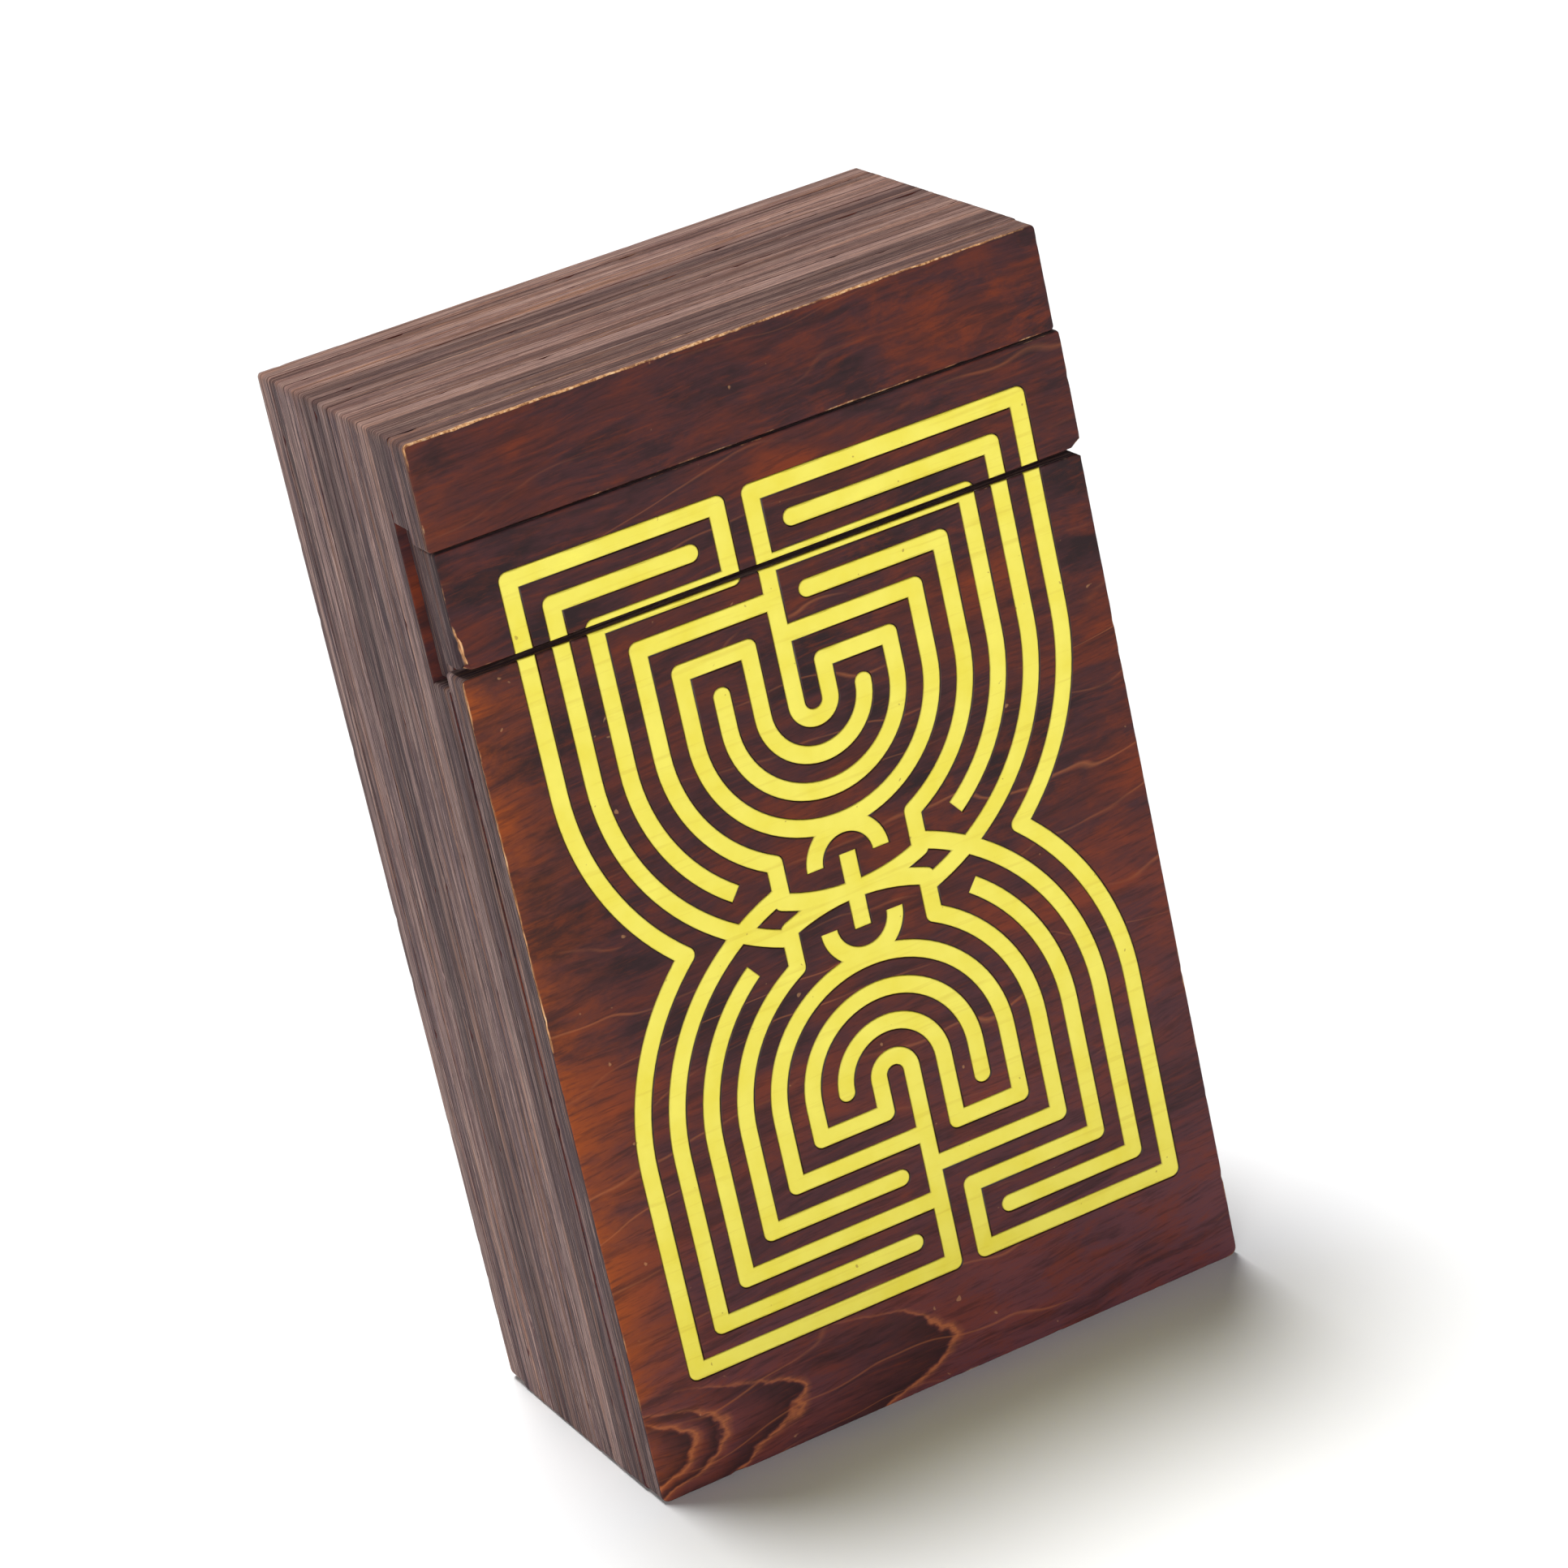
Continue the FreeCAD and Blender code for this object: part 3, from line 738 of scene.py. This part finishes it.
def build():
    """Every visible piece."""
    strip_low, strip_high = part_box("strip_front")
    splinters = [
        Bruise(strip_low.x, strip_low.z + rise * MM, reach * MM, depth * MM)
        for rise, reach, depth in SPLINTERS
    ]
    tip = Bruise(strip_high.x, strip_low.z, 1.2 * MM, 0.1 * MM)
    top_face = veneer("veneer_top", 3.1, mottle=0.85, figure=0.12, glow=0.2)
    strip_face = veneer("veneer_strip", 7.4, mottle=0.45, figure=0.25)
    panel_face = veneer("veneer_panel", 11.9, mottle=0.5, figure=0.4, glow=0.8, arches=True)
    inner_face = veneer("veneer_inner", 17.2, mottle=0.5, figure=0.12)
    back_face = veneer("veneer_back", 23.6, mottle=0.5, figure=0.3)
    coat = paint("lemon_paint")
    ground = varnish("groove_ground", 2.0)
    rims = [ply_edge(f"ply_edge_{k}", 1.7 + 4.3 * k, tone) for k, tone in enumerate(RIM_TONES)]

    sheet("top_strip", "case", top_face, rims[0], 1.0, front_bevel=0.16, wear=0.7, top_wear=1.5,
          corner=0.5, foot_corner=0.4)
    strip = sheet("strip_front", "strip", strip_face, rims[1], 2.0, front_bevel=0.12, wear=0.6, corner=0.3,
                  foot_corner=0.25, bruises=[*splinters, tip])
    panel = sheet("panel_front", "panel", panel_face, rims[0], 3.0, front_bevel=0.12, wear=0.6, corner=0.4,
                  foot_corner=0.8, rubbed=(0.45 * TOP_Z, 0.79 * TOP_Z))
    groove_and_paint(strip, "strip_front", "strip_paint", "strip", ground, coat)
    groove_and_paint(panel, "panel_front", "panel_paint", "panel", ground, coat)
    sheet("strip_backing", "strip", inner_face, rims[2], 4.0, relief=0.06)
    sheet("panel_neck", "panel", inner_face, rims[3], 5.0)
    sheet("maze_tongue", "panel", inner_face, rims[2], 6.0)
    sheet("track_left_rail", "case", inner_face, rims[1], 7.0, foot_corner=0.7)
    sheet("track_frame", "case", inner_face, rims[1], 8.0, foot_corner=0.7)
    sheet("tongue_track", "case", inner_face, rims[3], 9.0, foot_corner=0.6)
    sheet("compartment_mask", "case", inner_face, rims[0], 10.0, foot_corner=0.6)
    for k in range(1, BODY_FRAMES + 1):
        sheet(f"body_frame_{k}", "case", inner_face, rims[(2 * k) % len(rims)], 10.0 + k, front_bevel=0.08,
              back_bevel=0.14 if k == BACK_WORN_FRAME else 0.07, corner=0.3, relief=0.035 + 0.01 * (k % 3))
    sheet("back_plate", "case", back_face, rims[2], 17.0, back_bevel=0.5, wear=0.6, corner=0.4,
          foot_corner=1.0)
    rods()


# ------------------------------------------------------------------ floor, light and camera


FLOOR_REACH = 6.0


def floor():
    """A plain white floor under the box."""
    data = bpy.data.meshes.new("floor")
    corners = [(x * FLOOR_REACH, y * FLOOR_REACH, 0) for x, y in ((-1, -1), (1, -1), (1, 1), (-1, 1))]
    data.from_pydata(corners, [], [(0, 1, 2, 3)])
    plane = bpy.data.objects.new("floor", data)
    n = Nodes("floor_white")
    n.shader.inputs["Base Color"].default_value = FLOOR_WHITE
    n.shader.inputs["Roughness"].default_value = 0.9
    n.shader.inputs["Specular IOR Level"].default_value = 0.1
    data.materials.append(n.material)
    bpy.context.scene.collection.objects.link(plane)


def sun(name, azimuth, elevation, strength, spread, colour=(1.0, 1.0, 1.0)):
    """A broad soft light. Angles are in degrees: azimuth 0 is in front of the box, and -90 at its left."""
    lamp = bpy.data.lights.new(name, "SUN")
    lamp.energy = strength
    lamp.color = colour
    lamp.angle = math.radians(spread)
    across, up = math.radians(azimuth), math.radians(elevation)
    source = Vector((math.sin(across) * math.cos(up), -math.cos(across) * math.cos(up), math.sin(up)))
    piece = bpy.data.objects.new(name, lamp)
    piece.rotation_euler = source.to_track_quat("Z", "Y").to_euler()
    bpy.context.scene.collection.objects.link(piece)


def lights():
    """A faint sky, a high key light behind the box and a low fill from the front left."""
    world = bpy.data.worlds.new("studio")
    world.use_nodes = True
    world.node_tree.nodes["Background"].inputs["Color"].default_value = SKY
    world.node_tree.nodes["Background"].inputs["Strength"].default_value = 0.06
    bpy.context.scene.world = world
    sun("key", azimuth=-174, elevation=75, strength=3.6, spread=22)
    sun("front_fill", azimuth=-32, elevation=5, strength=2.85, spread=40, colour=(0.97, 0.965, 0.97))


# The photograph's viewpoint, solved from the box's corners
CAMERA_PLACE = Vector((-0.1666, -0.4108, 0.2281))
CAMERA_AIM = Vector((0.0031, 0.0, 0.053))
CAMERA_ROLL = math.radians(12.595)
CAMERA_SENSOR = 36
CAMERA_LENS = 123.01


def camera():
    """The camera, at the photograph's viewing angle."""
    lens = bpy.data.cameras.new("camera")
    lens.sensor_width = CAMERA_SENSOR
    lens.lens = CAMERA_LENS
    view = bpy.data.objects.new("camera", lens)
    facing = (CAMERA_AIM - CAMERA_PLACE).to_track_quat("-Z", "Y").to_matrix().to_4x4()
    view.matrix_world = Matrix.Translation(CAMERA_PLACE) @ facing @ Matrix.Rotation(-CAMERA_ROLL, 4, "Z")
    bpy.context.scene.collection.objects.link(view)
    bpy.context.scene.camera = view


build()
floor()
lights()
camera()
bpy.context.scene.view_settings.view_transform = "Standard"
